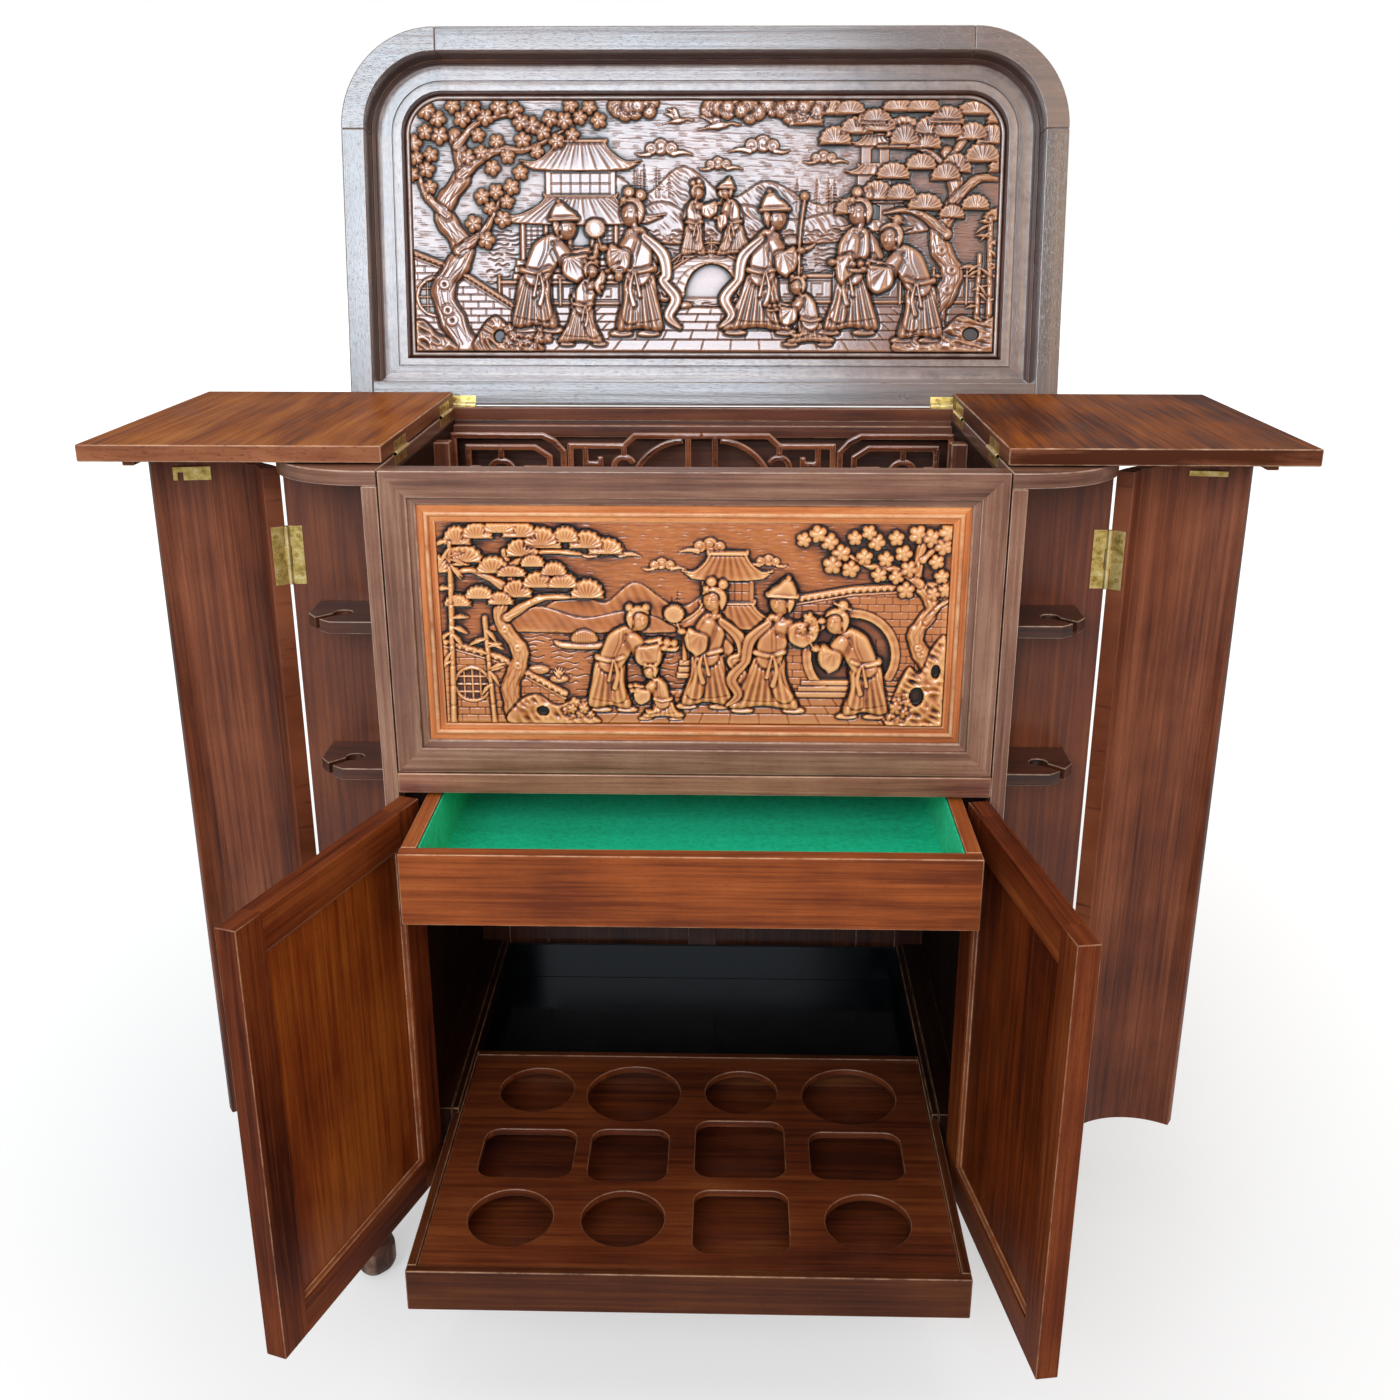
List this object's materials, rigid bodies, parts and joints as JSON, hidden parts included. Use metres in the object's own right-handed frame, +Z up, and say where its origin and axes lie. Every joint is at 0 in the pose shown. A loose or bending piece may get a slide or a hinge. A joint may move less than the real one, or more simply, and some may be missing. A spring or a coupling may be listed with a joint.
{
  "type": "dry bar cabinet",
  "caption": "Folding bar cabinet with rounded front corners, lift-up lid, spreading top leaves, curved corner doors, lower doors, and a pull-out drawer and bottle tray.",
  "frame": {"origin": "Centre of the open cabinet's bounding box in X and Y, at the floor.", "axes": "+Z is up, -Y is the front that the lower doors open to, +X is the viewer's right."},
  "size_m": [1.272, 0.9128, 1.5048],
  "materials": {
    "dark_wood": "waxed",
    "mid_wood": "satin",
    "deep_wood": "satin",
    "carved_wood": "satin",
    "lid_wood": "glossy",
    "black_gloss": "black high gloss",
    "felt": "matt felt",
    "brass": "aged satin"
  },
  "bodies": {
    "carcass": {"partition_left": "mid_wood", "partition_right": "mid_wood", "outer_sides": "mid_wood", "bay_walls": "deep_wood", "top_plates": "mid_wood", "bottom_board": "dark_wood", "bay_floors": "dark_wood", "floor_liner": "black_gloss", "back_panel": "dark_wood", "back_frame": "deep_wood", "back_rail": "mid_wood", "front_rail": "mid_wood", "front_frame": "dark_wood", "front_panel": "carved_wood", "front_bead": "carved_wood", "well_floor": "deep_wood", "well_back": "deep_wood", "well_battens": "deep_wood", "fretwork": "mid_wood", "drawer_guides": "deep_wood", "tray_guides": "deep_wood", "bottle_brackets": "dark_wood", "front_legs": "dark_wood", "back_legs": "dark_wood", "lid_hinges_fixed": "brass", "leaf_hinges_fixed": "brass", "curved_hinges_fixed": "brass", "door_hinges_fixed": "brass"},
    "lid": {"lid_rim": "dark_wood", "lid_board": "dark_wood", "lid_frame": "lid_wood", "lid_bead": "lid_wood", "lid_panel": "lid_wood", "lid_hinges": "brass"},
    "leaf_left": {"leaf_left": "mid_wood", "leaf_hinges_left": "brass"},
    "leaf_right": {"leaf_right": "mid_wood", "leaf_hinges_right": "brass"},
    "curved_door_left": {"curved_door_left": "deep_wood", "curved_stile_left": "deep_wood", "curved_hinges_left": "brass", "lock_plate": "brass"},
    "curved_door_right": {"curved_door_right": "deep_wood", "curved_stile_right": "deep_wood", "curved_hinges_right": "brass", "lock_strike": "brass"},
    "door_left": {"door_frame_left": "mid_wood", "door_panel_left": "deep_wood", "door_hinges_left": "brass"},
    "door_right": {"door_frame_right": "mid_wood", "door_panel_right": "deep_wood", "door_hinges_right": "brass"},
    "drawer": {"drawer_front": "mid_wood", "drawer_box": "mid_wood", "drawer_bottom": "deep_wood", "drawer_felt": "felt"},
    "tray": {"tray_box": "mid_wood", "tray_floor": "deep_wood", "tray_rack": "deep_wood"}
  },
  "joints": [
    {"name": "lid_hinge", "type": "hinge", "parent": "carcass", "child": "lid", "pos_m": [0, 0.31758, 1.049], "axis": [-1, 0, 0], "range_deg": [-49, 0]},
    {"name": "leaf_left_hinge", "type": "hinge", "parent": "carcass", "child": "leaf_left", "pos_m": [-0.319, 0.08258, 1.049], "axis": [0, -1, 0], "range_deg": [-180, 0]},
    {"name": "leaf_right_hinge", "type": "hinge", "parent": "carcass", "child": "leaf_right", "pos_m": [0.319, 0.08258, 1.049], "axis": [0, 1, 0], "range_deg": [-180, 0]},
    {"name": "curved_door_left_hinge", "type": "hinge", "parent": "carcass", "child": "curved_door_left", "pos_m": [-0.451, -0.02242, 0.6], "axis": [0, 0, -1], "range_deg": [-146, 30]},
    {"name": "curved_door_right_hinge", "type": "hinge", "parent": "carcass", "child": "curved_door_right", "pos_m": [0.451, -0.02242, 0.6], "axis": [0, 0, 1], "range_deg": [-146, 30]},
    {"name": "door_left_hinge", "type": "hinge", "parent": "carcass", "child": "door_left", "pos_m": [-0.319, -0.13842, 0.45], "axis": [0, 0, -1], "range_deg": [-18.8, 60]},
    {"name": "door_right_hinge", "type": "hinge", "parent": "carcass", "child": "door_right", "pos_m": [0.319, -0.13842, 0.45], "axis": [0, 0, 1], "range_deg": [-8.7, 70]},
    {"name": "drawer_slide", "type": "slide", "parent": "carcass", "child": "drawer", "axis": [0, -1, 0], "range_m": [-0.171, 0.11]},
    {"name": "tray_slide", "type": "slide", "parent": "carcass", "child": "tray", "axis": [0, -1, 0], "range_m": [-0.269, 0.04]}
  ]
}
